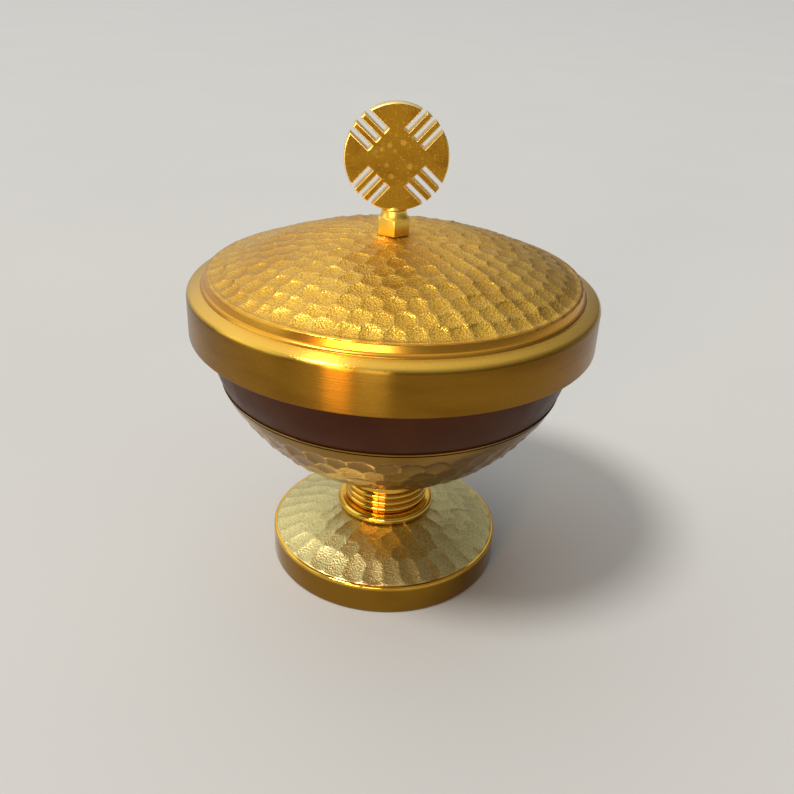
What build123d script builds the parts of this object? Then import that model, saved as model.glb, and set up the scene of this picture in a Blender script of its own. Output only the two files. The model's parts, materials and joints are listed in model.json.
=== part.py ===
from build123d import *
import os
from math import cos, pi, radians, sin, sqrt, tan

# A pyx on a foot: a small lidded cup in gilt brass. Millimetres, +Z up.
# The origin is the centre of the foot's underside. The turned pieces share the Z axis.

# Fits
solder_gap = 0.1  # between faces that solder holds together
thread_gap = 0.05  # round a stud in its thread
hole_gap = 0.25  # round a stud in a plain hole
end_gap = 0.3  # past the end of a stud or spigot in its blind hole
lid_clearance = 0.3  # round the lid's ring in the bowl's mouth

# Foot
foot_radius = 33.3
foot_ring_height = 8.6
foot_ring_wall = 1.6
foot_lip = 0.8  # width of the ring's lip round the sheet's edge
foot_ledge = 1.8  # width of the ledge that carries the sheet
foot_ledge_depth = 1.4
foot_bottom_round = 0.6
foot_lip_round = 0.35
foot_sheet = 1.2
foot_rise = 6.5  # from the ring's top to the seat of the stem
foot_bulge = 0.6  # how far the sheet swells out from a plain cone
foot_seat_margin = 1.1  # of the flat seat, outside the root of the stem's bead

# Stem
bead_reach = 14.2
bead_swell = 1.3  # how far the bead stands out from its root
bead_height = 2.8
ring_count = 3
ring_setback = 0.85  # the rings stand in from the bead's root
ring_swell = 0.85
ring_height = 1.8
ring_groove = 0.3
knop_collar = 0.9  # plain length above the rings
boss_height = 2.8  # on the axis, between stem and bowl
boss_flare = 1.8  # how far the boss widens from the stem up to the bowl
boss_cove = 0.6  # how far the boss's side curves in
boss_roof = 0.8  # left above the stud's hole
spigot_wall = 5.2  # of the stem's top, round the boss's spigot
spigot_length = 4.0

# Fastening under the foot
tie_radius = 2.5
tie_tail = 1.2  # of the stud, past its nut
foot_nut_flats = 8.0
foot_nut_height = 4.0
foot_washer_radius = 8.0
foot_washer_thick = 1.0

# Bowl
bowl_radius = 50.5  # of the half round that the bowl is, up to its straight mouth
bowl_wall = 1.8
lip_line = 0.55  # width of the fine line at the lip
lip_groove_width = 0.4
lip_groove_depth = 0.35
band_height = 19.9  # from the bowl's lip up to its straight mouth
band_thick = 0.6
band_setback = 0.35  # how far the band lies behind the lip
bowl_rim_height = 4.95  # of the straight mouth, which the rim goes round
bowl_rim_proud = 0.9  # how far the rim stands out from the bowl's round
bowl_rim_round = 0.5

# Lid
lid_skirt_gap = 1.4  # between the bowl's rim and the lid's skirt
lid_skirt_drop = 12.65  # from the sloping ring's top down to the skirt's edge
lid_skirt_wall = 1.2
lid_plate = 1.5
lid_ring_width = 4.3  # of the sloping ring, from the rim's edge in to the dome's foot
lid_ring_edge = 0.2  # height of the ring's outer corner, above the plate's underside
lid_edge_round = 1.5
lid_skirt_round = 0.3
flange_depth = 6.0
flange_wall = 1.2
flange_round = 0.5
dome_step = 2.55
dome_step_taper = 0.7  # how far the step leans in
dome_edge_round = 0.4
dome_rise = 10.0
dome_edge_angle = 26.0  # slope of the dome at its edge
dome_sheet = 1.2
crown_margin = 0.3  # of the flat in the dome's middle, outside the finial's collar

# Finial
finial_offset = -1.0  # the finial stands a little left of the dome's middle
collar_flats = 7.8
collar_height = 4.2
collar_turn = 4.0
collar_chamfer = 30.0
neck_setback = 0.75  # the neck stands in from the collar's flats
neck_flare = 0.25  # how far the neck widens at its top
neck_height = 2.0  # from the collar's top to the disc's lowest point
saddle_rise = 0.6  # of the neck, up the disc's two faces
disc_radius = 13.0
disc_thick = 4.2
disc_turn = 3.0
disc_chamfer = 0.25
slot_groups = 4
slot_turn = 2.6  # of the slots, round the disc's own middle
slots_in_group = 3
slot_width = 1.35
slot_pitch = 2.85
slot_depth = 6.6  # from the disc's edge in to the slots' inner ends
finial_stud_radius = 2.0
finial_stud_grip = 3.6  # of the stud, up in the collar
finial_stud_tail = 0.8
finial_nut_flats = 7.0
finial_nut_height = 3.0
finial_washer_radius = 4.5
finial_washer_thick = 0.8

# Heights, from the foot's underside up
sheet_edge_bottom = foot_ring_height - foot_sheet
seat_top = foot_ring_height + foot_rise
seat_bottom = seat_top - foot_sheet
knop_height = bead_height + ring_count * (ring_groove + ring_height) + knop_collar
knop_top = seat_top + knop_height
bowl_bottom = knop_top + boss_height
bowl_centre = bowl_bottom + bowl_radius
mouth_top = bowl_centre + bowl_rim_height
plate_top = mouth_top + lid_plate
dome_edge_top = plate_top + dome_step
crown_top = dome_edge_top + dome_rise
crown_bottom = crown_top - dome_sheet
collar_top = crown_top + collar_height
disc_bottom = collar_top + neck_height

# Radii that pieces share, from the axis out
tie_hole = tie_radius + hole_gap
bead_root = bead_reach - bead_swell
ring_reach = bead_root - ring_setback
ring_root = ring_reach - ring_swell
spigot_radius = ring_root - spigot_wall
boss_reach = ring_root + boss_flare
foot_seat_radius = bead_root + foot_seat_margin
band_radius = bowl_radius - band_setback
recess_radius = band_radius - band_thick - solder_gap
mouth_radius = bowl_radius - bowl_wall
flange_outer = mouth_radius - lid_clearance
flange_inner = flange_outer - flange_wall
bowl_rim_reach = bowl_radius + bowl_rim_proud
skirt_inner = bowl_rim_reach + lid_skirt_gap
lid_radius = skirt_inner + lid_skirt_wall
dome_foot_radius = lid_radius - lid_ring_width
dome_edge_radius = dome_foot_radius - dome_step_taper

# The finial, from its own axis out
hex_sides = 6
collar_flat = collar_flats / 2
collar_corner = collar_flat / cos(pi / hex_sides)
crown_radius = collar_corner + abs(finial_offset) + crown_margin
neck_radius = collar_flat - neck_setback
finial_hole = finial_stud_radius + hole_gap
finial_place = Pos(finial_offset, 0)


def turned(face):
    """Spin a face drawn as (radius, height) once round the Z axis."""
    return revolve(Plane.XZ * face, Axis.Z)


def outline(*edges):
    """Face inside edges that follow each other and close."""
    return make_face(Curve() + list(edges))


def polygon(*points):
    """Face inside straight lines through the points."""
    return make_face(Polyline(*points, close=True))


def rounded(face, *corners):
    """Round the corners of a face, each given as (radius, height, size of the round)."""
    for across, up, size in corners:
        corner = face.vertices().sort_by_distance((across, up))[0]
        face = fillet(corner, size)
    return face


def tube(inner, outer, bottom, top):
    """Face of a plain ring with square corners."""
    return polygon((inner, bottom), (outer, bottom), (outer, top), (inner, top))


def swollen(start, end, bulge):
    """Arc from start to end that swells to the left of its chord by bulge."""
    chord = Vector(*end) - Vector(*start)
    middle = (Vector(*start) + Vector(*end)) / 2
    left = Vector(-chord.Y, chord.X).normalized()
    return ThreePointArc(start, middle + left * bulge, end)


def bowl_point(radius, depth):
    """Point on the bowl's round, for a sphere of the radius, at a depth below its centre."""
    return (sqrt(radius**2 - depth**2), bowl_centre - depth)


def bowl_arc(radius, low, high):
    """Edge up the bowl's round between two depths below its centre."""
    start = bowl_point(radius, low)
    end = bowl_point(radius, high)
    between = Vector(start[0] + end[0], -low - high).normalized()
    middle = (radius * between.X, bowl_centre + radius * between.Y)
    return ThreePointArc(start, middle, end)


def hexagon(flats, turn=0.0):
    """Hexagon across flats, with one corner to the front before the turn."""
    return RegularPolygon(flats / 2, hex_sides, major_radius=False, rotation=90 + turn)


def hex_nut(flats, height, hole):
    return extrude(hexagon(flats) - Circle(hole), height)


def rod(radius, bottom, top):
    return Pos(0, 0, bottom) * extrude(Circle(radius), top - bottom)


def washer(radius, thick, hole):
    return extrude(Circle(radius) - Circle(hole), thick)


def make_foot_ring():
    lip_inner = foot_radius - foot_lip
    ledge_inner = lip_inner - foot_ledge
    ledge_bottom = sheet_edge_bottom - foot_ledge_depth
    wall_inner = foot_radius - foot_ring_wall
    face = polygon(
        (wall_inner, 0),
        (foot_radius, 0),
        (foot_radius, foot_ring_height),
        (lip_inner, foot_ring_height),
        (lip_inner, sheet_edge_bottom),
        (ledge_inner, sheet_edge_bottom),
        (ledge_inner, ledge_bottom),
        (wall_inner, ledge_bottom - abs(wall_inner - ledge_inner)),
    )
    return turned(
        rounded(
            face,
            (foot_radius, 0, foot_bottom_round),
            (foot_radius, foot_ring_height, foot_lip_round),
        )
    )


def make_foot_dome():
    edge = foot_radius - foot_lip - solder_gap
    ledge_inner = foot_radius - foot_lip - foot_ledge
    upper = swollen((edge, foot_ring_height), (foot_seat_radius, seat_top), -foot_bulge)
    lower = swollen((foot_seat_radius, seat_bottom), (ledge_inner, sheet_edge_bottom), foot_bulge)
    face = outline(
        upper,
        Polyline((foot_seat_radius, seat_top), (tie_hole, seat_top), (tie_hole, seat_bottom)),
        Line((tie_hole, seat_bottom), (foot_seat_radius, seat_bottom)),
        lower,
        Polyline((ledge_inner, sheet_edge_bottom), (edge, sheet_edge_bottom), (edge, foot_ring_height)),
    )
    return turned(face)


def make_foot_washer():
    bottom = seat_bottom - foot_washer_thick
    return Pos(0, 0, bottom) * washer(foot_washer_radius, foot_washer_thick, tie_hole)


def make_foot_nut():
    bottom = seat_bottom - foot_washer_thick - foot_nut_height
    return Pos(0, 0, bottom) * hex_nut(foot_nut_flats, foot_nut_height, tie_radius + thread_gap)


def make_tie_stud():
    bottom = seat_bottom - foot_washer_thick - foot_nut_height - tie_tail
    return rod(tie_radius, bottom, bowl_bottom - solder_gap - boss_roof - end_gap)


def make_stem_knop():
    bead_middle = seat_top + bead_height / 2
    height = seat_top + bead_height
    edges = [
        Line((tie_hole, seat_top), (bead_root, seat_top)),
        ThreePointArc((bead_root, seat_top), (bead_reach, bead_middle), (bead_root, height)),
        Line((bead_root, height), (ring_root, height)),
    ]
    for _ in range(ring_count):
        low = height + ring_groove
        middle = (ring_reach, low + ring_height / 2)
        edges.append(Line((ring_root, height), (ring_root, low)))
        height = low + ring_height
        edges.append(ThreePointArc((ring_root, low), middle, (ring_root, height)))
    socket = spigot_radius + solder_gap
    socket_bottom = knop_top - spigot_length - end_gap
    edges.append(
        Polyline(
            (ring_root, height),
            (ring_root, knop_top),
            (socket, knop_top),
            (socket, socket_bottom),
            (tie_hole, socket_bottom),
            (tie_hole, seat_top),
        )
    )
    return turned(outline(*edges))


def make_bowl_boss():
    seat_radius = bowl_radius + solder_gap
    seat_low = bowl_centre - seat_radius
    edge_depth = sqrt(seat_radius**2 - boss_reach**2)
    thread = tie_radius + thread_gap
    thread_top = bowl_bottom - solder_gap - boss_roof
    spigot_bottom = knop_top - spigot_length
    face = outline(
        bowl_arc(seat_radius, seat_radius, edge_depth),
        swollen((boss_reach, bowl_centre - edge_depth), (ring_root, knop_top), -boss_cove),
        Polyline(
            (ring_root, knop_top),
            (spigot_radius, knop_top),
            (spigot_radius, spigot_bottom),
            (thread, spigot_bottom),
            (thread, thread_top),
            (0, thread_top),
            (0, seat_low),
        ),
    )
    return turned(face)


def make_bowl_shell():
    line_depth = band_height + lip_line
    groove_low = line_depth + lip_groove_width
    groove_radius = bowl_radius - lip_groove_depth
    face = outline(
        bowl_arc(bowl_radius, bowl_radius, groove_low),
        Line(bowl_point(bowl_radius, groove_low), bowl_point(groove_radius, groove_low)),
        Line(bowl_point(groove_radius, groove_low), bowl_point(groove_radius, line_depth)),
        Line(bowl_point(groove_radius, line_depth), bowl_point(bowl_radius, line_depth)),
        bowl_arc(bowl_radius, line_depth, band_height),
        Line(bowl_point(bowl_radius, band_height), bowl_point(recess_radius, band_height)),
        bowl_arc(recess_radius, band_height, 0),
        Polyline(
            (recess_radius, bowl_centre),
            (recess_radius, mouth_top),
            (mouth_radius, mouth_top),
            (mouth_radius, bowl_centre),
        ),
        bowl_arc(mouth_radius, mouth_radius, 0),
        Line((0, bowl_centre - mouth_radius), (0, bowl_centre - bowl_radius)),
    )
    return turned(face)


def make_bowl_band():
    inner = band_radius - band_thick
    face = outline(
        bowl_arc(band_radius, band_height, 0),
        Line((band_radius, bowl_centre), (inner, bowl_centre)),
        bowl_arc(inner, band_height, 0),
        Line(bowl_point(inner, band_height), bowl_point(band_radius, band_height)),
    )
    return turned(face)


def make_bowl_rim():
    face = tube(recess_radius + solder_gap, bowl_rim_reach, bowl_centre, mouth_top)
    return turned(
        rounded(
            face,
            (bowl_rim_reach, bowl_centre, bowl_rim_round),
            (bowl_rim_reach, mouth_top, bowl_rim_round),
        )
    )


def make_lid_rim():
    skirt_bottom = plate_top - lid_skirt_drop
    corner = (lid_radius, mouth_top + lid_ring_edge)
    face = polygon(
        (skirt_inner, skirt_bottom),
        (lid_radius, skirt_bottom),
        corner,
        (dome_foot_radius, plate_top),
        (flange_inner, plate_top),
        (flange_inner, mouth_top),
        (skirt_inner, mouth_top),
    )
    return turned(
        rounded(
            face,
            (*corner, lid_edge_round),
            (lid_radius, skirt_bottom, lid_skirt_round),
        )
    )


def make_lid_flange():
    bottom = mouth_top - flange_depth
    face = tube(flange_inner, flange_outer, bottom, mouth_top)
    return turned(rounded(face, (flange_outer, bottom, flange_round)))


def make_lid_dome():
    edge_way = (cos(radians(dome_edge_angle)), -sin(radians(dome_edge_angle)))
    edge = (dome_edge_radius, dome_edge_top)
    inner_edge = (dome_edge_radius - dome_sheet, dome_edge_top - dome_sheet)
    crown = (crown_radius, crown_top)
    inner_crown = (crown_radius, crown_bottom)
    face = outline(
        Line((0, crown_top), crown),
        Spline(crown, edge, tangents=[(1, 0), edge_way]),
        Polyline(
            edge,
            (dome_foot_radius, plate_top),
            (dome_foot_radius - dome_sheet, plate_top),
            inner_edge,
        ),
        Spline(inner_crown, inner_edge, tangents=[(1, 0), edge_way]),
        Polyline(inner_crown, (0, crown_bottom), (0, crown_top)),
    )
    dome = turned(rounded(face, (*edge, dome_edge_round)))
    return dome - finial_place * rod(finial_hole, crown_bottom - dome_sheet, crown_top + dome_sheet)


def disc_blank(radius, thick):
    """Round blank that stands on edge, with its middle where the disc's is."""
    blank = extrude(Plane.XZ * Circle(radius), thick / 2, both=True)
    return Pos(0, 0, disc_bottom + disc_radius) * Rot(Z=disc_turn) * blank


def make_finial_collar():
    shoulder = collar_height - (collar_corner - collar_flat) * tan(radians(collar_chamfer))
    chamfered = turned(
        polygon(
            (0, 0),
            (collar_corner, 0),
            (collar_corner, shoulder),
            (collar_flat, collar_height),
            (0, collar_height),
        )
    )
    prism = extrude(hexagon(collar_flats, collar_turn), collar_height) & chamfered
    neck_top = neck_height + saddle_rise
    neck = turned(
        polygon(
            (0, 0),
            (neck_radius, 0),
            (neck_radius, neck_height / 2),
            (neck_radius + neck_flare, neck_height),
            (disc_thick / 2, neck_top),
            (0, neck_top),
        )
    )
    collar = Pos(0, 0, crown_top) * prism + Pos(0, 0, collar_top) * neck
    collar -= disc_blank(disc_radius + solder_gap, disc_thick + 2 * solder_gap)
    collar -= rod(finial_stud_radius + thread_gap, crown_top, crown_top + finial_stud_grip + end_gap)
    return finial_place * collar


def make_finial_disc():
    slot = Pos(disc_radius, 0) * Rectangle(2 * slot_depth, slot_width)
    face = Circle(disc_radius)
    for group in range(slot_groups):
        diagonal = Rot(Z=(group + 0.5) * 360 / slot_groups + slot_turn)
        for index in range(slots_in_group):
            aside = (index - (slots_in_group - 1) / 2) * slot_pitch
            face -= diagonal * Pos(0, aside) * slot
    disc = extrude(Plane.XZ * face, disc_thick / 2, both=True)
    rims = disc.faces().filter_by(Axis.Y).edges()
    disc = chamfer(rims, disc_chamfer)
    return finial_place * Pos(0, 0, disc_bottom + disc_radius) * Rot(Z=disc_turn) * disc


def make_finial_stud():
    bottom = crown_bottom - finial_washer_thick - finial_nut_height - finial_stud_tail
    return finial_place * rod(finial_stud_radius, bottom, crown_top + finial_stud_grip)


def make_finial_washer():
    flat_ring = washer(finial_washer_radius, finial_washer_thick, finial_hole)
    return finial_place * Pos(0, 0, crown_bottom - finial_washer_thick) * flat_ring


def make_finial_nut():
    bottom = crown_bottom - finial_washer_thick - finial_nut_height
    nut = hex_nut(finial_nut_flats, finial_nut_height, finial_stud_radius + thread_gap)
    return finial_place * Pos(0, 0, bottom) * nut


pieces = {
    "foot_ring": make_foot_ring(),
    "foot_dome": make_foot_dome(),
    "foot_washer": make_foot_washer(),
    "foot_nut": make_foot_nut(),
    "tie_stud": make_tie_stud(),
    "stem_knop": make_stem_knop(),
    "bowl_boss": make_bowl_boss(),
    "bowl_shell": make_bowl_shell(),
    "bowl_band": make_bowl_band(),
    "bowl_rim": make_bowl_rim(),
    "lid_rim": make_lid_rim(),
    "lid_flange": make_lid_flange(),
    "lid_dome": make_lid_dome(),
    "finial_collar": make_finial_collar(),
    "finial_disc": make_finial_disc(),
    "finial_stud": make_finial_stud(),
    "finial_washer": make_finial_washer(),
    "finial_nut": make_finial_nut(),
}

os.makedirs("parts", exist_ok=True)
for name, piece in pieces.items():
    export_step(piece, f"parts/{name}.step")
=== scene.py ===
import json
import random
from math import acos, asin, atan, cos, degrees, hypot, pi, radians, sin, sqrt, tau

import bmesh
import bpy
import numpy as np
from mathutils import Matrix, Vector

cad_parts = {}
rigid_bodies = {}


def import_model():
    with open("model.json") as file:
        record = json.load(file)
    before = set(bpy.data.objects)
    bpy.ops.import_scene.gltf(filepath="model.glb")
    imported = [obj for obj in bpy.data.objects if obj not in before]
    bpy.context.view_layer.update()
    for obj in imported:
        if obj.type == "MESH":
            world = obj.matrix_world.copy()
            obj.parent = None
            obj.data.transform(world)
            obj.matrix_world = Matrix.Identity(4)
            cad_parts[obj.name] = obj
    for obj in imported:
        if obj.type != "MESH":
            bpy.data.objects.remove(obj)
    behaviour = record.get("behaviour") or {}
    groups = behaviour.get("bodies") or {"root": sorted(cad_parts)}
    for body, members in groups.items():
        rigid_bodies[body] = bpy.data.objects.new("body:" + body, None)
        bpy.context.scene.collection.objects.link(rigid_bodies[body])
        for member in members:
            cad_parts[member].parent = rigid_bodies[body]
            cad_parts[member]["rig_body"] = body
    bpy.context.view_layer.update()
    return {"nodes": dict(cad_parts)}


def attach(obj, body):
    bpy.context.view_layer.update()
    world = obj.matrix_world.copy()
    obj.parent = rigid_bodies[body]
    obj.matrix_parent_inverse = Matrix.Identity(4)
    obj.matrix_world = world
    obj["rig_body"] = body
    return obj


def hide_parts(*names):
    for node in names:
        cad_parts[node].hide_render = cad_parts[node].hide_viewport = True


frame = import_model()
scene = bpy.context.scene
scene.view_settings.view_transform = "Standard"

# A pyx on a foot, in gilt brass. Sizes are millimetres and angles degrees; the scene is in metres.
# Heights are measured from the foot's underside up.
MM = 0.001

# Points closer than this are taken as one
touch = 0.001

# Thickness of the foot's and the dome's sheet
sheet = 1.2

# Foot
foot_radius = 33.3
foot_wall_inside = 31.7
foot_ring_top = 8.6
lip_inside = 32.5
ledge_radius = 30.7
ledge_top = 7.4
ledge_bottom = 6.0
ledge_root = 5.0
sheet_edge = 32.48
foot_seat = 15.1
foot_seat_radius = 14.0
foot_sag = 0.6
foot_mark_edge = 32.4

# Stem
tie_hole = 2.75
tie_thread = 2.55
tie_thread_top = 27.0
bead_radius = 12.9
bead_top = 17.9
bead_bulge = 1.3
neck_radius = 11.2
ring_gap = 0.3
ring_pitch = 2.1
ring_bulge = 0.85
knop_top = 25.1
spigot_hole = 6.1
spigot_floor = 20.8
spigot_radius = 6.0
spigot_end = 21.1
boss_radius = 13.0

# Bowl
bowl_centre = 78.4
bowl_radius = 50.5
bowl_inside = 48.7
band_radius = 50.15
band_inside = 49.55
band_recess = 49.45
band_drop = 19.9
lip_width = 0.55
groove_width = 0.4
groove_depth = 0.35
bowl_mark_top = 54.6
mouth_top = 83.35
mouth_ring_radius = 51.4

# Lid
lid_radius = 54.0
skirt_inside = 52.8
skirt_bottom = 72.2
ring_corner = 83.55
plate_top = 84.85
plate_hole = 47.2
flange_radius = 48.4
flange_bottom = 77.35
dome_foot_radius = 49.7
dome_edge_radius = 49.0
dome_edge = 87.4
dome_edge_slope = 26
dome_pull = 45.2
crown_radius = 5.8
crown_top = 97.4

# Finial
finial_x = -1.0
finial_hole = 2.25
finial_thread = 2.05
finial_thread_top = 101.3
collar_half = 3.9
collar_top = 101.6
collar_turn = 4
finial_neck = 3.2
saddle_radius = 2.14
disc_bottom = 103.6
disc_radius = 12.997
disc_core = 3.6
disc_turn = 3
slot_half = 0.675
slot_pitch = 2.85
slot_floor = 6.4
slot_turn = 2.6

# How far a hexagon's corners are turned down for each millimetre that they stand out
corner_lean = 0.577


# Outlines

def bow(start, end, bulge, count):
    """Points along the arc from start to end that stands off its chord by bulge, to the left."""
    start, end = Vector(start), Vector(end)
    chord = end - start
    half = chord.length / 2
    left = Vector((-chord.y, chord.x)).normalized()
    centre = (start + end) / 2 + left * (bulge - (half**2 + bulge**2) / (2 * bulge))
    sweep = 4 * atan(bulge / half)
    points = []
    for index in range(count + 1):
        point = centre + Matrix.Rotation(-sweep * index / count, 2) @ (start - centre)
        points.append((point.x, point.y))
    return points


def bowl_round(radius, low, high, count):
    """Points up the bowl's round between two angles from its lowest point, in degrees."""
    points = []
    for index in range(count + 1):
        angle = radians(low + (high - low) * index / count)
        points.append((radius * sin(angle), bowl_centre - radius * cos(angle)))
    return points


def dome_curve(edge, crown, count):
    """Points from the dome's edge, where it is steepest, up to its level crown."""
    slope = radians(dome_edge_slope)
    edge_way = Vector((cos(slope), -sin(slope))) * dome_pull
    crown_way = Vector((dome_pull, 0))
    points = []
    for index in range(count + 1):
        t = 1 - index / count
        point = (
            (2 * t**3 - 3 * t**2 + 1) * Vector(crown)
            + (t**3 - 2 * t**2 + t) * crown_way
            + (3 * t**2 - 2 * t**3) * Vector(edge)
            + (t**3 - t**2) * edge_way
        )
        points.append((point.x, point.y))
    return points


# Shaping

def pick(piece, wanted):
    """Select only the vertices of the open piece whose place is wanted."""
    shape = bmesh.from_edit_mesh(piece.data)
    bpy.ops.mesh.select_all(action="DESELECT")
    for vert in shape.verts:
        vert.select_set(bool(wanted(vert.co / MM)))
    shape.select_flush(True)
    bmesh.update_edit_mesh(piece.data)


def pick_faces(piece, wanted):
    """Add the faces of the open piece that are wanted to what is selected, in face mode."""
    bpy.context.tool_settings.mesh_select_mode = (False, False, True)
    for face in bmesh.from_edit_mesh(piece.data).faces:
        face.select_set(wanted(face))


def draw(name, outline, closed):
    """Draw an outline of (across, up, size of the round) point by point and round its corners."""
    bpy.ops.object.select_all(action="DESELECT")
    bpy.ops.mesh.primitive_plane_add(size=MM)
    piece = bpy.context.object
    piece.name = piece.data.name = name
    bpy.ops.object.mode_set(mode="EDIT")
    bpy.ops.mesh.merge(type="CENTER")
    bpy.ops.transform.translate(value=(outline[0][0] * MM, 0, outline[0][1] * MM))
    for before, after in zip(outline, outline[1:]):
        step = ((after[0] - before[0]) * MM, 0, (after[1] - before[1]) * MM)
        bpy.ops.mesh.extrude_vertices_move(TRANSFORM_OT_translate={"value": step})
    if closed:
        ends = [Vector((x, 0, z)) for x, z, *_ in (outline[0], outline[-1])]
        pick(piece, lambda place: min((place - end).length for end in ends) < touch)
        bpy.ops.mesh.edge_face_add()
    for across, up, *size in outline:
        if size:
            corner = Vector((across, 0, up))
            pick(piece, lambda place: (place - corner).length < touch)
            bpy.ops.mesh.bevel(offset=size[0] * MM, segments=6, affect="VERTICES")
    return piece


def close_seams():
    """Merge the ends of a turned shape and point its faces outwards."""
    bpy.ops.object.mode_set(mode="EDIT")
    bpy.ops.mesh.select_all(action="SELECT")
    bpy.ops.mesh.remove_doubles(threshold=touch * MM)
    bpy.ops.mesh.dissolve_degenerate(threshold=touch * MM)
    bpy.ops.mesh.select_all(action="SELECT")
    bpy.ops.mesh.normals_make_consistent(inside=False)


def sweep(piece, steps, rise=0.0, turns=1):
    """Turn the drawn outline round the axis, and up by rise with each turn."""
    bpy.ops.object.mode_set(mode="OBJECT")
    lathe = piece.modifiers.new("lathe", "SCREW")
    lathe.axis = "Z"
    lathe.angle = tau
    lathe.screw_offset = rise * MM
    lathe.iterations = turns
    lathe.steps = lathe.render_steps = steps
    lathe.use_merge_vertices = True
    lathe.merge_threshold = touch * MM
    bpy.ops.object.modifier_apply(modifier=lathe.name)
    close_seams()
    bpy.ops.object.mode_set(mode="OBJECT")


def turn(name, outline, steps, closed=True):
    """Turn an outline once round the axis, as on a lathe."""
    piece = draw(name, outline, closed)
    sweep(piece, steps)
    return piece


def take(piece):
    """Make the piece the one that operators act on."""
    bpy.ops.object.select_all(action="DESELECT")
    piece.select_set(True)
    bpy.context.view_layer.objects.active = piece


def shave(piece, middle, way):
    """Cut the piece off flat past a plane and close the cut."""
    take(piece)
    bpy.ops.object.mode_set(mode="EDIT")
    bpy.ops.mesh.select_all(action="SELECT")
    place = [value * MM for value in middle]
    bpy.ops.mesh.bisect(
        plane_co=place, plane_no=way, use_fill=True, clear_outer=True, threshold=touch * MM
    )
    bpy.ops.object.mode_set(mode="OBJECT")


def mill_hexagon(piece, flats, turned=0):
    """Mill six flats on a turned blank, the first to the right and then turned by degrees."""
    for side in range(6):
        angle = radians(60 * side + turned)
        way = (cos(angle), sin(angle), 0)
        shave(piece, (way[0] * flats / 2, way[1] * flats / 2, 0), way)


def cylinder(vertices, radius, depth, place, rotation=(0, 0, 0)):
    """A plain cylinder to cut with."""
    bpy.ops.object.select_all(action="DESELECT")
    bpy.ops.mesh.primitive_cylinder_add(
        vertices=vertices,
        radius=radius * MM,
        depth=depth * MM,
        location=[value * MM for value in place],
        rotation=rotation,
    )
    return bpy.context.object


def cut_away(piece, cutter):
    """Cut one piece with another, which is used up."""
    take(piece)
    cut = piece.modifiers.new("cut", "BOOLEAN")
    cut.operation = "DIFFERENCE"
    cut.solver = "EXACT"
    cut.object = cutter
    bpy.ops.object.modifier_apply(modifier=cut.name)
    take(cutter)
    bpy.ops.object.delete()


def break_edges(piece, width, segments):
    """Take the sharp edges off with a small round."""
    take(piece)
    edges = piece.modifiers.new("broken edges", "BEVEL")
    edges.width = width * MM
    edges.segments = segments
    edges.limit_method = "ANGLE"
    edges.angle_limit = radians(28)
    edges.use_clamp_overlap = True
    bpy.ops.object.modifier_apply(modifier=edges.name)


def put_on_finial_axis(piece):
    """Move a piece from the object's axis to the finial's."""
    take(piece)
    bpy.ops.transform.translate(value=(finial_x * MM, 0, 0))
    bpy.ops.object.transform_apply(location=True, rotation=True, scale=True)


def smooth(piece, crease=30):
    take(piece)
    bpy.ops.object.shade_smooth_by_angle(angle=radians(crease))


# Hammering

def mark_row(chance, row, radius, height, slope, count, wide, long, deep, lean):
    """One row of hammer marks round the axis, set between those of the row before, as scales are.

    Slope is the way to the round side of the marks.
    """
    marks = []
    pitch = tau / count
    for index in range(count):
        angle = -pi / 2 + (index + row % 2 / 2 + chance.uniform(-0.07, 0.07)) * pitch
        out = Vector((cos(angle), sin(angle), 0))
        across = Vector((-sin(angle), cos(angle), 0))
        along = out * slope[0] + Vector((0, 0, slope[1]))
        skew = chance.uniform(-0.12, 0.12)
        slip = chance.uniform(-0.06, 0.06) * long
        marks.append(
            (
                out * radius + Vector((0, 0, height)) + along * slip,
                (along + across * skew).normalized(),
                (across - along * skew).normalized(),
                wide * chance.uniform(0.93, 1.07),
                long * chance.uniform(0.94, 1.06),
                deep * chance.uniform(0.8, 1.2),
                lean * chance.uniform(0.75, 1.25),
                deep * chance.uniform(-0.4, 0.4),
            )
        )
    return marks


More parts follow.
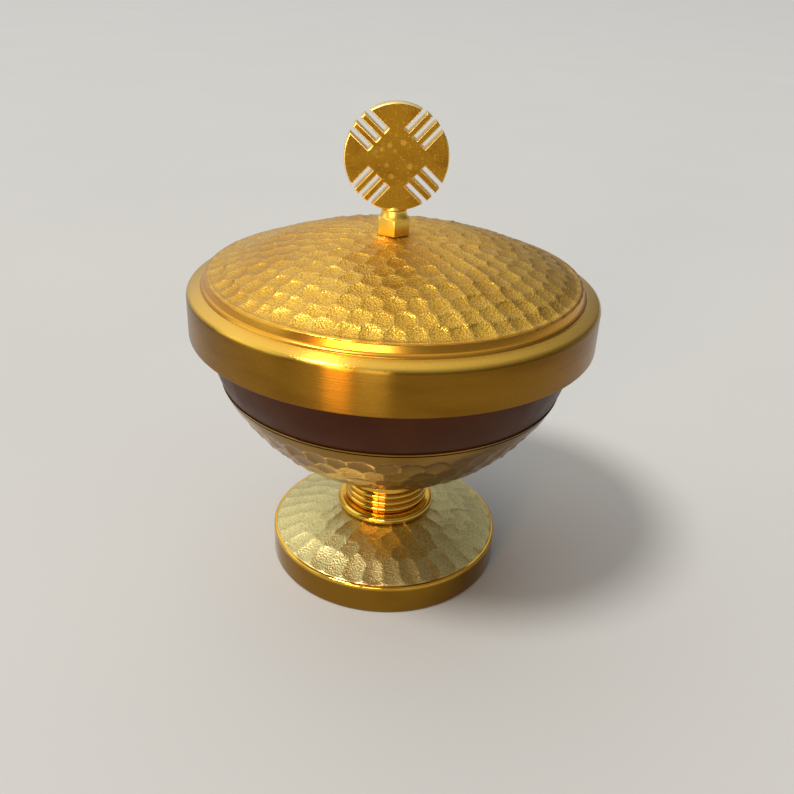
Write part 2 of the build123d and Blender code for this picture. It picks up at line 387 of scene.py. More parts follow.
def hammer(piece, rows, zone):
    """Sink the piece's surface by rows of dished marks with a sharp round side.

    The zone gives how fully the marks are struck at each place, and how matt the place is. The
    crests between the marks are kept for the finish, which paints a highlight there.
    """
    wall = 0.5
    crest_height = 0.22
    take(piece)
    total = len(piece.data.vertices)
    place = np.empty(total * 3, np.float32)
    way = np.empty(total * 3, np.float32)
    piece.data.vertices.foreach_get("co", place)
    piece.data.vertices.foreach_get("normal", way)
    place = place.reshape(-1, 3).astype(float) / MM
    way = way.reshape(-1, 3).astype(float)
    from_axis = np.hypot(place[:, 0], place[:, 1])
    strength, matt = zone(place, way)
    sunk = np.zeros(total)
    beside = np.ones(total)
    for row in rows:
        columns = [np.array(column) for column in zip(*row)]
        middle, along, across, wide, long, deep, lean, tip = columns
        row_radius = np.hypot(middle[:, 0], middle[:, 1]).mean()
        reach = 1.6 * long.max()
        high = np.abs(place[:, 2] - middle[:, 2].mean()) < reach
        out = np.abs(from_axis - row_radius) < reach
        near = np.nonzero(high & out & (strength > 0))[0]
        for part in np.array_split(near, max(1, len(near) // 6000)):
            away = place[part][:, None, :] - middle[None]
            up = (away * along).sum(2) / long
            side = (away * across).sum(2) / wide
            from_middle = np.hypot(up, side)
            dish = deep * (from_middle**2 - 1) - lean * (1 + up) + tip * side
            dish += wall * long * np.maximum(0, from_middle - 1)
            lowest, second = np.partition(dish, 1, axis=1)[:, :2].T
            second = np.minimum(np.maximum(sunk[part], lowest), second)
            beside[part] = np.minimum(beside[part], second)
            sunk[part] = np.minimum(sunk[part], lowest)
    place += way * (sunk * strength)[:, None]
    piece.data.vertices.foreach_set("co", (place * MM).ravel().astype(np.float32))
    # The crest mask is where the finish paints a highlight, along the crests between marks
    crest_highlight = np.clip(1 - (beside - sunk) / crest_height, 0, 1) * matt
    for name, values in (("crest_highlight", crest_highlight), ("struck", matt)):
        kept = piece.data.attributes.new(name, "FLOAT", "POINT")
        kept.data.foreach_set("value", values.astype(np.float32))
    piece.data.update()


# Finishes

class Finish:
    """A material with its shader and short ways to add and join nodes."""

    def __init__(self, name, metallic=0.0):
        self.material = bpy.data.materials.new(name)
        self.material.use_nodes = True
        self.nodes = self.material.node_tree.nodes
        self.shader = self.nodes["Principled BSDF"]
        self.set("Metallic", metallic)
        self.place = self.add("ShaderNodeTexCoord").outputs["Object"]

    def set(self, socket, value):
        self.shader.inputs[socket].default_value = value

    def add(self, kind, **settings):
        node = self.nodes.new(kind)
        for key, value in settings.items():
            setattr(node, key, value)
        return node

    def join(self, source, target):
        self.material.node_tree.links.new(source, target)

    def feed(self, socket, value):
        """Give a socket a number or join it to another socket."""
        if isinstance(value, (int, float)):
            socket.default_value = value
        elif isinstance(value, tuple):
            socket.default_value = (*value, 1)
        else:
            self.join(value, socket)

    def stretched(self, scale):
        """The place on the object, stretched along its axes."""
        node = self.add("ShaderNodeMapping", vector_type="POINT")
        node.inputs["Scale"].default_value = scale
        self.join(self.place, node.inputs["Vector"])
        return node.outputs["Vector"]

    def noise(self, scale, detail=2.0, place=None, roughness=0.5):
        node = self.add("ShaderNodeTexNoise")
        node.inputs["Scale"].default_value = scale
        node.inputs["Detail"].default_value = detail
        node.inputs["Roughness"].default_value = roughness
        self.join(place or self.place, node.inputs["Vector"])
        return node.outputs["Fac"]

    def lines(self, scale, detail=3, roughness=0.5):
        """Noise stretched into lines."""
        return self.noise(1.0, detail, self.stretched(scale), roughness)

    def grains(self, scale):
        node = self.add("ShaderNodeTexVoronoi", feature="F1")
        node.inputs["Scale"].default_value = scale
        self.join(self.place, node.inputs["Vector"])
        return node.outputs["Distance"]

    def ramp(self, source, low, high, start=0.0, end=1.0):
        """Spread a value from low..high to start..end."""
        node = self.add("ShaderNodeMapRange", interpolation_type="SMOOTHSTEP")
        limits = {"From Min": low, "From Max": high, "To Min": start, "To Max": end}
        for key, value in limits.items():
            node.inputs[key].default_value = value
        self.join(source, node.inputs["Value"])
        return node.outputs["Result"]

    def reckon(self, kind, first, second):
        node = self.add("ShaderNodeMath", operation=kind)
        self.feed(node.inputs[0], first)
        self.feed(node.inputs[1], second)
        return node.outputs[0]

    def times(self, first, second):
        return self.reckon("MULTIPLY", first, second)

    def plus(self, first, second):
        return self.reckon("ADD", first, second)

    def blend(self, share, first, second):
        """One colour where share is 0 and another where it is 1."""
        node = self.add("ShaderNodeMix", data_type="RGBA")
        self.feed(node.inputs[6], first)
        self.feed(node.inputs[7], second)
        self.join(share, node.inputs[0])
        return node.outputs[2]

    def bump(self, source, depth, strength=1.0, over=None):
        """Raise the surface by a value, depth in millimetres."""
        node = self.add("ShaderNodeBump")
        node.inputs["Strength"].default_value = strength
        node.inputs["Distance"].default_value = depth * MM
        self.join(source, node.inputs["Height"])
        if over:
            self.join(over, node.inputs["Normal"])
        return node.outputs["Normal"]

    def attribute(self, name):
        return self.add("ShaderNodeAttribute", attribute_name=name).outputs["Fac"]

    def height(self, low, high, start=0.0, end=1.0):
        """A value that goes from start to end between two heights, in millimetres."""
        apart = self.add("ShaderNodeSeparateXYZ")
        self.join(self.place, apart.inputs[0])
        return self.ramp(apart.outputs[2], low * MM, high * MM, start, end)

    def wear(self, colour, roughness, normal):
        self.join(colour, self.shader.inputs["Base Color"])
        self.join(roughness, self.shader.inputs["Roughness"])
        self.join(normal, self.shader.inputs["Normal"])
        return self.material


# Colours, and pairs of a finish's lighter and darker shade
gilt = (0.80, 0.48, 0.068)
gilt_deep = (0.60, 0.31, 0.03)
# Painted highlight for the crests between hammer marks
gilt_highlight = (0.90, 0.63, 0.17)
# Painted shade for the gaps between stipple grains
gilt_gap_shade = (0.36, 0.17, 0.015)
# Painted shade for the foot ring's wall
foot_wall_shade_gilt = (0.2, 0.095, 0.009)
# Painted reflection of greenish window light on the foot
foot_reflection_gilt = (0.66, 0.67, 0.35)
collar_gilt = (0.95, 0.64, 0.11)
# Painted reflection for the plain step at the dome's edge
step_reflection_gilt = (0.66, 0.30, 0.03)
# Painted shade: darkened gilt tones for the bowl
bowl_painted_shades = (0.30, 0.158, 0.016), (0.22, 0.107, 0.009)
# Painted shade: darkened gilt tones for the rim's wall
rim_painted_shades = (0.29, 0.138, 0.013), (0.215, 0.096, 0.008)
# Painted shade: darkened gilt tones for the finial disc
disc_painted_shades = (0.44, 0.21, 0.014), (0.31, 0.135, 0.008)
disc_stain = (0.74, 0.46, 0.09)
disc_speck = (0.80, 0.48, 0.075)
# Painted highlight for the disc's bevelled edges
disc_edge_highlight = (0.97, 0.74, 0.26)
enamel_shades = (0.043, 0.0126, 0.0033), (0.032, 0.0088, 0.0023)
enamel_speck = (0.09, 0.05, 0.035)
# Painted reflection colour: a warm tint for the enamel's reflections
enamel_reflection_tint = (1.0, 0.72, 0.5, 1)
brass_shades = (0.62, 0.43, 0.17), (0.42, 0.26, 0.09)


def polished_gilt():
    """Mirror gilding, darkened down the foot's wall as painted shade, and paler and duller on the
    finial's collar.
    """
    finish = Finish("polished_gilt", 1.0)
    cloud = finish.ramp(finish.noise(70, 4), 0.42, 0.72)
    # Painted shade: the foot ring's wall is darkened below its lip, for the dark reflections there
    foot_wall_shade = finish.height(7.2, 8.0, 0.85, 0.0)
    collar = finish.height(96.2, 97.4)
    colour = finish.blend(cloud, gilt, gilt_deep)
    colour = finish.blend(foot_wall_shade, colour, foot_wall_shade_gilt)
    colour = finish.blend(collar, colour, collar_gilt)
    smudge = finish.ramp(finish.noise(140, 5), 0.45, 0.8, 0.07, 0.2)
    smudge = finish.plus(smudge, finish.times(collar, 0.26))
    normal = finish.bump(finish.lines((60, 60, 5200)), 0.004, 0.5)
    normal = finish.bump(finish.noise(2600, 2), 0.004, 0.35, normal)
    return finish.wear(colour, smudge, normal)


def hammered_grain(finish):
    """Fine stipple of a matt punch, half a millimetre from grain to grain: its height, and the gaps
    between grains, for painted shade.
    """
    grain = finish.grains(2050)
    fine = finish.noise(4200, 2)
    height = finish.plus(finish.times(grain, 1.2), finish.times(fine, 0.45))
    return height, finish.ramp(grain, 0.3, 0.75)


def hammered_gilt():
    """Satin gilding for the dome and foot, stippled where struck, with a plain step at the edge. It
    has a painted highlight on the crests, painted shade in the stipple's gaps, and painted
    reflection on the foot and on the step.
    """
    finish = Finish("hammered_gilt", 1.0)
    cloud = finish.ramp(finish.noise(45, 5), 0.4, 0.75)
    # Painted highlight: paler gilding along the crests between the marks
    crest_highlight = finish.ramp(finish.attribute("crest_highlight"), 0.1, 1.0)
    foot = finish.height(20, 30, 0.8, 0.0)
    struck = finish.attribute("struck")
    plain = finish.ramp(struck, 0.4, 0.0)
    grain, grain_gap_shade = hammered_grain(finish)
    colour = finish.blend(cloud, gilt, gilt_deep)
    colour = finish.blend(finish.times(crest_highlight, 0.4), colour, gilt_highlight)
    # Painted reflection: paler, greener gilding over the foot, for the greenish window light it
    # mirrors
    colour = finish.blend(foot, colour, foot_reflection_gilt)
    # Painted shade: darker gilding in the gaps between the stipple's grains, where struck
    colour = finish.blend(finish.times(grain_gap_shade, finish.times(struck, 0.5)), colour, gilt_gap_shade)
    # Painted reflection: orange-brown gilding on the plain step at the dome's edge
    colour = finish.blend(finish.times(plain, 0.8), colour, step_reflection_gilt)
    matt = finish.ramp(finish.noise(90, 4), 0.3, 0.75, 0.2, 0.26)
    rough = finish.plus(finish.times(matt, struck), 0.1)
    rough = finish.plus(rough, finish.times(foot, 0.16))
    rough = finish.plus(rough, finish.times(plain, 0.16))
    rough = finish.plus(rough, finish.height(93.5, 96.8, 0.0, 0.14))
    normal = finish.bump(finish.times(grain, struck), 0.085)
    return finish.wear(colour, rough, normal)


def bowl_gilt():
    """Gilding for the bowl, darkened as painted shade, turned at the lip and stippled where struck.
    """
    finish = Finish("bowl_gilt", 1.0)
    cloud = finish.ramp(finish.noise(55, 5), 0.42, 0.75)
    # Painted highlight: brighter gilding along the crests between the marks
    crest_highlight = finish.ramp(finish.attribute("crest_highlight"), 0.1, 1.0)
    struck = finish.attribute("struck")
    # Painted shade: the bowl's gilding is darkened for the shade and dark reflections it sits in
    colour = finish.blend(cloud, *bowl_painted_shades)
    colour = finish.blend(finish.times(crest_highlight, 0.5), colour, gilt)
    rough = finish.ramp(finish.noise(110, 4), 0.35, 0.78, 0.1, 0.22)
    rough = finish.plus(rough, finish.times(struck, 0.07))
    grain = finish.times(hammered_grain(finish)[0], finish.times(struck, 0.7))
    normal = finish.bump(finish.lines((40, 40, 4200)), 0.005, 0.5)
    normal = finish.bump(grain, 0.05, 0.8, normal)
    return finish.wear(colour, rough, normal)


def brushed_gilt():
    """Gilding brushed round the rim, darkened on its wall as painted shade, so that the flat ring
    on top is brighter.
    """
    finish = Finish("brushed_gilt", 1.0)
    finish.set("Anisotropic", 1.0)
    finish.set("Anisotropic Rotation", 0.25)
    round_way = finish.add("ShaderNodeTangent", direction_type="RADIAL", axis="Z")
    finish.join(round_way.outputs[0], finish.shader.inputs["Tangent"])
    cloud = finish.ramp(finish.lines((30, 30, 140), 4), 0.4, 0.75)
    brush = finish.lines((25, 25, 6500), 4, 0.65)
    flat_ring = finish.height(82.8, 83.6)
    # Painted shade on the rim's wall; the flat ring on top keeps the plain gilt
    colour = finish.blend(cloud, *rim_painted_shades)
    colour = finish.blend(flat_ring, colour, gilt)
    rough = finish.ramp(brush, 0.3, 0.7, 0.24, 0.29)
    rough = finish.times(rough, finish.ramp(flat_ring, 0.0, 1.0, 1.0, 0.95))
    peel = finish.times(finish.noise(1900, 2), flat_ring)
    normal = finish.bump(brush, 0.009, 0.5)
    normal = finish.bump(peel, 0.05, 0.6, normal)
    return finish.wear(colour, rough, normal)


def finial_gilt():
    """Scratched, speckled gilding for the disc, stained in its middle, darkened as painted shade,
    with a painted highlight at its edges.
    """
    finish = Finish("finial_gilt", 1.0)
    cloud = finish.ramp(finish.noise(160, 5), 0.45, 0.75)
    from_middle = finish.add("ShaderNodeVectorMath", operation="DISTANCE")
    from_middle.inputs[1].default_value = (finial_x * MM, 0, (disc_bottom + disc_radius) * MM)
    finish.join(finish.place, from_middle.inputs[0])
    stained = finish.ramp(from_middle.outputs["Value"], 7.5 * MM, 4.5 * MM)
    spots = finish.times(finish.ramp(finish.grains(420), 0.45, 0.2), stained)
    specks = finish.ramp(finish.noise(2300, 2), 0.56, 0.72, 0.0, 0.5)
    # Painted highlight: paler, rougher gilding on the bevels round the disc's faces
    edge = finish.attribute("edge")
    # Painted shade: the disc's gilding is darkened for the dark reflections on its face
    colour = finish.blend(cloud, *disc_painted_shades)
    colour = finish.blend(finish.times(spots, 0.3), colour, disc_stain)
    colour = finish.blend(specks, colour, disc_speck)
    colour = finish.blend(edge, colour, disc_edge_highlight)
    rough = finish.ramp(finish.noise(320, 5), 0.4, 0.8, 0.1, 0.22)
    rough = finish.plus(rough, finish.times(spots, 0.2))
    rough = finish.plus(rough, finish.times(edge, 0.2))
    level_scratches = finish.ramp(finish.lines((300, 900, 5200), 2), 0.66, 0.72)
    upright_scratches = finish.ramp(finish.lines((4600, 900, 420), 2), 0.68, 0.74)
    scratches = finish.plus(level_scratches, upright_scratches)
    normal = finish.bump(finish.noise(150, 1), 0.006, 0.5)
    normal = finish.bump(scratches, 0.006, 0.6, normal)
    return finish.wear(colour, rough, normal)


def brown_enamel():
    """Dark brown enamel with little gloss, a painted warm tint in its reflections, and a few paler
    specks.
    """
    finish = Finish("brown_enamel")
    finish.set("Specular IOR Level", 0.15)
    # Painted reflection: the reflections are tinted warm, for the warm gilt round the band
    finish.set("Specular Tint", enamel_reflection_tint)
    cloud = finish.ramp(finish.noise(60, 4), 0.35, 0.75)
    specks = finish.ramp(finish.grains(420), 0.09, 0.05)
    colour = finish.blend(cloud, *enamel_shades)
    colour = finish.blend(finish.times(specks, 0.25), colour, enamel_speck)
    rough = finish.ramp(finish.noise(150, 4), 0.3, 0.75, 0.33, 0.45)
    normal = finish.bump(finish.noise(850, 2), 0.02, 0.25)
    return finish.wear(colour, rough, normal)


def plain_brass():
    """Turned brass without gilding, for the hidden fastenings."""
    finish = Finish("plain_brass", 1.0)
    cloud = finish.ramp(finish.noise(210, 5), 0.38, 0.72)
    colour = finish.blend(cloud, *brass_shades)
    rough = finish.ramp(finish.noise(500, 4), 0.3, 0.75, 0.24, 0.42)
    normal = finish.bump(finish.lines((400, 400, 5200)), 0.01, 0.5)
    return finish.wear(colour, rough, normal)


finishes = {
    "polished_gilt": polished_gilt(),
    "hammered_gilt": hammered_gilt(),
    "bowl_gilt": bowl_gilt(),
    "brushed_gilt": brushed_gilt(),
    "finial_gilt": finial_gilt(),
    "brown_enamel": brown_enamel(),
    "plain_brass": plain_brass(),
}


def dress(piece, node, finish):
    """Give a piece its finish and put it in place of its CAD node."""
    piece.data.materials.clear()
    piece.data.materials.append(finishes[finish])
    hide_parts(node)
    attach(piece, frame["nodes"][node]["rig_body"])


# Foot

foot_ring = turn(
    "turned_foot_ring",
    [
        (foot_wall_inside, 0.0, 0.25),
        (foot_radius, 0.0, 0.6),
        (foot_radius, foot_ring_top, 0.55),
        (lip_inside, foot_ring_top),
        (lip_inside, ledge_top),
        (ledge_radius, ledge_top),
        (ledge_radius, ledge_bottom, 0.2),
        (foot_wall_inside, ledge_root),
    ],
    320,
)
smooth(foot_ring)
dress(foot_ring, "foot_ring", "polished_gilt")

foot_dome = turn(
    "hammered_foot",
    [
        (tie_hole, foot_seat - sheet),
        *bow((foot_seat_radius, foot_seat - sheet), (ledge_radius, ledge_top), foot_sag, 8),
        (sheet_edge, ledge_top),
        *bow((sheet_edge, foot_ring_top), (foot_seat_radius, foot_seat), -foot_sag, 56),
        (tie_hole, foot_seat),
    ],
    480,
)


def foot_zone(place, way):
    """Marks over the sheet's top, fading out at the ring's lip and under the stem."""
    out = np.hypot(place[:, 0], place[:, 1])
    top = way[:, 2] > 0.4
    edge = np.clip((foot_mark_edge - out) / 0.5, 0, 1)
    seat = np.clip((out - foot_seat_radius + 1.0) / 0.6, 0, 1)
    return np.where(top, edge * seat, 0), np.where(top & (out < foot_mark_edge - 0.2), 0.75, 0)


foot_marks = {"wide": 3.1, "long": 4.4, "deep": 0.36, "lean": 0.27}
foot_mark_rows = (17.0, 21), (20.4, 25), (24.4, 30), (28.8, 35)
foot_mark_lift = 0.45
foot_run = foot_mark_edge - foot_seat_radius
foot_rise = foot_seat - foot_ring_top
foot_slope = Vector((-foot_run, foot_rise)).normalized()
foot_chance = random.Random(11)
foot_rows = []
for row, (row_radius, row_count) in enumerate(foot_mark_rows):
    up_slope = (foot_mark_edge - row_radius) * foot_rise / foot_run
    row_height = foot_ring_top + up_slope + foot_mark_lift
    foot_rows.append(
        mark_row(foot_chance, row, row_radius, row_height, foot_slope, row_count, **foot_marks)
    )
hammer(foot_dome, foot_rows, foot_zone)
smooth(foot_dome)
dress(foot_dome, "foot_dome", "hammered_gilt")

# Stem

knop_outline = [
    (tie_hole, foot_seat),
    *bow((bead_radius, foot_seat), (bead_radius, bead_top), -bead_bulge, 20),
    (neck_radius, bead_top),
]
for ring in range(3):
    ring_low = bead_top + ring * ring_pitch
    ring_start = (neck_radius, ring_low + ring_gap)
    ring_end = (neck_radius, ring_low + ring_pitch)
    knop_outline += bow(ring_start, ring_end, -ring_bulge, 14)
knop_outline += [
    (neck_radius, knop_top),
    (spigot_hole, knop_top),
    (spigot_hole, spigot_floor),
    (tie_hole, spigot_floor),
]
stem_knop = turn("turned_knop", knop_outline, 256)
smooth(stem_knop)
dress(stem_knop, "stem_knop", "polished_gilt")

seat_round = bowl_radius + 0.1
boss_edge = bowl_centre - sqrt(seat_round**2 - boss_radius**2)
bowl_boss = turn(
    "turned_boss",
    [
        *bowl_round(seat_round, 0, degrees(asin(boss_radius / seat_round)), 10),
        *bow((boss_radius, boss_edge), (neck_radius, knop_top), -0.6, 10)[1:],
        (spigot_radius, knop_top),
        (spigot_radius, spigot_end, 0.3),
        (tie_thread, spigot_end),
        (tie_thread, tie_thread_top),
        (0.0, tie_thread_top),
    ],
    192,
    closed=False,
)
smooth(bowl_boss)
dress(bowl_boss, "bowl_boss", "polished_gilt")

# Bowl: fine steps between the angles where the marks lie, few elsewhere

mark_low, mark_high = 14.8, 62.2
lip_angle = degrees(acos(band_drop / bowl_radius))
line_angle = degrees(acos((band_drop + lip_width) / bowl_radius))
groove_angle = degrees(acos((band_drop + lip_width + groove_width) / bowl_radius))
lip_height = bowl_centre - band_drop
bowl_shell = turn(
    "hammered_bowl",
    [
        *bowl_round(bowl_radius, 0, mark_low - 0.4, 3),
        *bowl_round(bowl_radius, mark_low, mark_high, 98),
        *bowl_round(bowl_radius, mark_high + 1.2, groove_angle, 2),
        *bowl_round(bowl_radius - groove_depth, groove_angle, line_angle, 1),
        *bowl_round(bowl_radius, line_angle, lip_angle - 0.12, 2),
        (bowl_radius * sin(radians(lip_angle)) - 0.1, lip_height),
        (sqrt(band_recess**2 - band_drop**2), lip_height),
        *bowl_round(band_recess, 72, 90, 5),
        (band_recess, mouth_top),
        (bowl_inside, mouth_top, 0.25),
        *bowl_round(bowl_inside, 90, 0, 26),
    ],
    560,
    closed=False,
)


def bowl_zone(place, way):
    """Marks over the bowl's outside, from the boss up to a plain strip below the lip."""
    from_centre = place - np.array((0, 0, bowl_centre))
    outside = (from_centre * way).sum(1) > 0
    clear_of_boss = np.hypot(place[:, 0], place[:, 1]) > boss_radius + 0.4
    low = np.clip((bowl_mark_top - place[:, 2]) / 0.4, 0, 1)
    strength = np.where(outside & clear_of_boss, low, 0)
    return strength, strength


bowl_marks = {"wide": 3.4, "long": 3.6, "deep": 0.3, "lean": 0.22}
bowl_mark_pitch = 5.9
bowl_chance = random.Random(23)
bowl_rows = []
for row in range(8):
    angle = radians(57.3 - 5.4 * row)
    row_radius = bowl_radius * sin(angle)
    row_height = bowl_centre - bowl_radius * cos(angle)
    row_count = round(tau * row_radius / bowl_mark_pitch)
    way_up = Vector((cos(angle), sin(angle)))
    bowl_rows.append(
        mark_row(bowl_chance, row, row_radius, row_height, way_up, row_count, **bowl_marks)
    )
hammer(bowl_shell, bowl_rows, bowl_zone)
smooth(bowl_shell)
dress(bowl_shell, "bowl_shell", "bowl_gilt")

bowl_band = turn(
    "enamel_band",
    [
        *bowl_round(band_radius, degrees(acos((band_drop - 0.03) / band_radius)), 89.95, 40),
        *bowl_round(band_inside, 90, degrees(acos(band_drop / band_inside)), 16),
    ],
    288,
)
smooth(bowl_band)
dress(bowl_band, "bowl_band", "brown_enamel")

bowl_rim = turn(
    "turned_bowl_rim",
    [
        (band_inside, bowl_centre),
        (mouth_ring_radius, bowl_centre, 0.5),
        (mouth_ring_radius, mouth_top, 0.5),
        (band_inside, mouth_top, 0.12),
    ],
    288,
)
smooth(bowl_rim)
dress(bowl_rim, "bowl_rim", "polished_gilt")

# Lid

lid_rim = turn(
    "brushed_lid_rim",
    [
        (skirt_inside, skirt_bottom, 0.15),
        (lid_radius, skirt_bottom, 0.3),
        (lid_radius, ring_corner, 1.1),
        (dome_foot_radius, plate_top),
        (plate_hole, plate_top),
        (plate_hole, mouth_top),
        (skirt_inside, mouth_top, 0.4),
    ],
    360,
)
smooth(lid_rim)
dress(lid_rim, "lid_rim", "brushed_gilt")

lid_flange = turn(
    "turned_lid_flange",
    [
        (plate_hole, flange_bottom, 0.15),
        (flange_radius, flange_bottom, 0.5),
        (flange_radius, mouth_top),
        (plate_hole, mouth_top),
    ],
    288,
)
smooth(lid_flange)
dress(lid_flange, "lid_flange", "polished_gilt")

dome_outside = dome_curve((dome_edge_radius, dome_edge), (crown_radius, crown_top), 118)
dome_inside = dome_curve(
    (dome_edge_radius - sheet, dome_edge - sheet), (crown_radius, crown_top - sheet), 14
)
step_low = (dome_foot_radius + 0.75, plate_top - 0.2)
step_high = (dome_foot_radius - 0.2, plate_top + 0.72)
lid_dome = turn(
    "hammered_lid_dome",
    [
        (0.0, crown_top - sheet),
        *reversed(dome_inside),
        (dome_foot_radius - sheet, plate_top),
        (dome_foot_radius, plate_top),
        (dome_foot_radius + 0.77, plate_top - 0.22),
        *bow(step_low, step_high, -0.2, 8),
        (dome_edge_radius, dome_edge, 0.35),
        *dome_outside[2:],
        (0.0, crown_top),
    ],
    640,
    closed=False,
)
cut_away(lid_dome, cylinder(48, finial_hole, 6, (finial_x, 0, crown_top)))


def dome_zone(place, way):
    """Marks over the dome's top, weaker at its edge and fading out at the collar."""
    out = np.hypot(place[:, 0], place[:, 1])
    from_finial = np.hypot(place[:, 0] - finial_x, place[:, 1])
    top = (way[:, 2] > 0.6) & (place[:, 2] > dome_edge - 0.4)
    edge = np.clip((dome_edge_radius - out) / 1.4, 0.3, 1)
    round_collar = np.clip((from_finial - 4.7) / 0.8, 0, 1)
    matt = np.clip((dome_edge_radius - 0.35 - out) / 0.25, 0, 1)
    return np.where(top, edge * round_collar, 0), np.where(top, matt, 0)


dome_marks = {"wide": 3.2, "long": 3.7, "deep": 0.42, "lean": 0.3}
dome_mark_pitch = 5.3
dome_radii, dome_heights = (np.array(values) for values in zip(*reversed(dome_outside)))
dome_chance = random.Random(5)
dome_rows = []
for row in range(10):
    row_radius = 47.4 - 4.4 * row
    row_height = float(np.interp(row_radius, dome_radii, dome_heights))
    lower = float(np.interp(row_radius + 0.5, dome_radii, dome_heights))
    way_up = Vector((-0.5, row_height - lower)).normalized()
    row_count = round(tau * row_radius / dome_mark_pitch)
    dome_rows.append(
        mark_row(dome_chance, row, row_radius, row_height, way_up, row_count, **dome_marks)
    )
hammer(lid_dome, dome_rows, dome_zone)
smooth(lid_dome)
dress(lid_dome, "lid_dome", "hammered_gilt")


# Finial

def disc_outline():
    """The disc's edge, with three slots cut in from it across each diagonal."""
    slots = [(aside - slot_half, aside + slot_half) for aside in (-slot_pitch, 0.0, slot_pitch)]
    points = []
    for group in range(4):
        diagonal = radians(45 + 90 * group + slot_turn)
        out_way = Vector((cos(diagonal), sin(diagonal)))
        side_way = Vector((-sin(diagonal), cos(diagonal)))
        last = radians(-90) + asin(slots[-1][1] / disc_radius)
        for low, high in slots:
            first = asin(low / disc_radius)
            count = 26 if low == slots[0][0] else 2
            for index in range(1, count + 1):
                angle = diagonal + last + (first - last) * index / count
                points.append((disc_radius * cos(angle), disc_radius * sin(angle)))
            slot_mouth = sqrt(disc_radius**2 - high**2)
            for out, aside in ((slot_floor, low), (slot_floor, high), (slot_mouth, high)):
                points.append(tuple(out_way * out + side_way * aside))
            last = asin(high / disc_radius)
    return points


# Both faces are raised in three narrowing steps, which rounds their edges
disc_edge_steps = (0.07, 0.16), (0.1, 0.1), (0.16, 0.04)
disc_edge_depth = 2.08
disc_face_area = 100
finial_disc = draw("slotted_disc", disc_outline(), closed=True)
bpy.ops.mesh.select_all(action="SELECT")
bpy.ops.mesh.edge_face_add()
bpy.ops.transform.translate(value=(0, disc_core / 2 * MM, 0))
bpy.ops.mesh.extrude_region_move(TRANSFORM_OT_translate={"value": (0, -disc_core * MM, 0)})
close_seams()
pick_faces(finial_disc, lambda face: abs(face.normal.y) > 0.9)
for inward, outward in disc_edge_steps:
    bpy.ops.mesh.inset(thickness=inward * MM, depth=outward * MM)
bpy.context.tool_settings.mesh_select_mode = (True, False, False)
bpy.ops.object.mode_set(mode="OBJECT")
# The edge attribute marks the bevels, which get a painted highlight
edge = finial_disc.data.attributes.new("edge", "FLOAT", "POINT")
for vert, value in zip(finial_disc.data.vertices, edge.data):
    value.value = 1.0 if abs(vert.co.y) < disc_edge_depth * MM else 0.0
finial_disc.rotation_euler = (0, 0, radians(disc_turn))
finial_disc.location = (finial_x * MM, 0, (disc_bottom + disc_radius) * MM)
bpy.ops.object.transform_apply(location=True, rotation=True, scale=True)
smooth(finial_disc)
# The two large faces stay flat
bpy.ops.object.mode_set(mode="EDIT")
bpy.ops.mesh.select_all(action="DESELECT")
pick_faces(finial_disc, lambda face: face.calc_area() > disc_face_area * MM * MM)
bpy.ops.mesh.faces_shade_flat()
bpy.context.tool_settings.mesh_select_mode = (True, False, False)
bpy.ops.object.mode_set(mode="OBJECT")
dress(finial_disc, "finial_disc", "finial_gilt")

collar_corner = collar_half / cos(pi / 6)
collar_shoulder = collar_top - (collar_corner - collar_half) * corner_lean
saddle_top = disc_bottom + 0.7
finial_collar = turn(
    "hexagon_collar",
    [
        (finial_thread, crown_top),
        (collar_corner, crown_top),
        (collar_corner, collar_shoulder),
        (collar_half, collar_top),
        *bow((3.66, collar_top + 0.12), (finial_neck, disc_bottom - 0.35), 0.05, 6),
        *bow((finial_neck, disc_bottom - 0.1), (saddle_radius, saddle_top), 0.16, 10),
        (0.0, saddle_top),
        (0.0, finial_thread_top),
        (finial_thread, finial_thread_top),
    ],
    96,
)
mill_hexagon(finial_collar, 2 * collar_half, collar_turn)
disc_place = (0, 0, disc_bottom + disc_radius)
disc_way = (pi / 2, 0, radians(disc_turn))
cut_away(finial_collar, cylinder(240, disc_radius + 0.02, 4.24, disc_place, disc_way))
break_edges(finial_collar, 0.12, 2)
put_on_finial_axis(finial_collar)
smooth(finial_collar)
dress(finial_collar, "finial_collar", "polished_gilt")


# Fastenings inside the foot and lid

def threaded_stud(name, radius, pitch, bottom, top):
    """A stud with a thread from end to end, cut flat at both ends and chamfered."""
    root = radius - 0.61 * pitch
    start = bottom - 2 * pitch
    stud = draw(
        name,
        [
            (root, start),
            (root, start + pitch * 0.12),
            (radius, start + pitch * 0.44),
            (radius, start + pitch * 0.56),
            (root, start + pitch * 0.88),
            (root, start + pitch),
        ],
        closed=False,
    )
    sweep(stud, 40, pitch, round((top - bottom) / pitch) + 4)
    shave(stud, (0, 0, bottom), (0, 0, -1))
    shave(stud, (0, 0, top), (0, 0, 1))
    close_seams()
    bpy.ops.object.mode_set(mode="OBJECT")
    for vert in stud.data.vertices:
        from_end = min(vert.co.z / MM - bottom, top - vert.co.z / MM)
        out = hypot(vert.co.x, vert.co.y) / MM
        most = root - 0.1 + from_end
        if out > most:
            vert.co.x *= most / out
            vert.co.y *= most / out
    return stud


def milled_nut(name, flats, bottom, height, hole):
    """A hexagon nut with its corners turned down and its hole chamfered."""
    corner = flats / 2 / cos(pi / 6)
    lean = (corner - flats / 2) * corner_lean
    chamfer = 0.3
    nut = turn(
        name,
        [
            (hole, bottom + chamfer),
            (hole + chamfer, bottom),
            (flats / 2, bottom),
            (corner, bottom + lean),
            (corner, bottom + height - lean),
            (flats / 2, bottom + height),
            (hole + chamfer, bottom + height),
            (hole, bottom + height - chamfer),
        ],
        96,
    )
    mill_hexagon(nut, flats)
    return nut


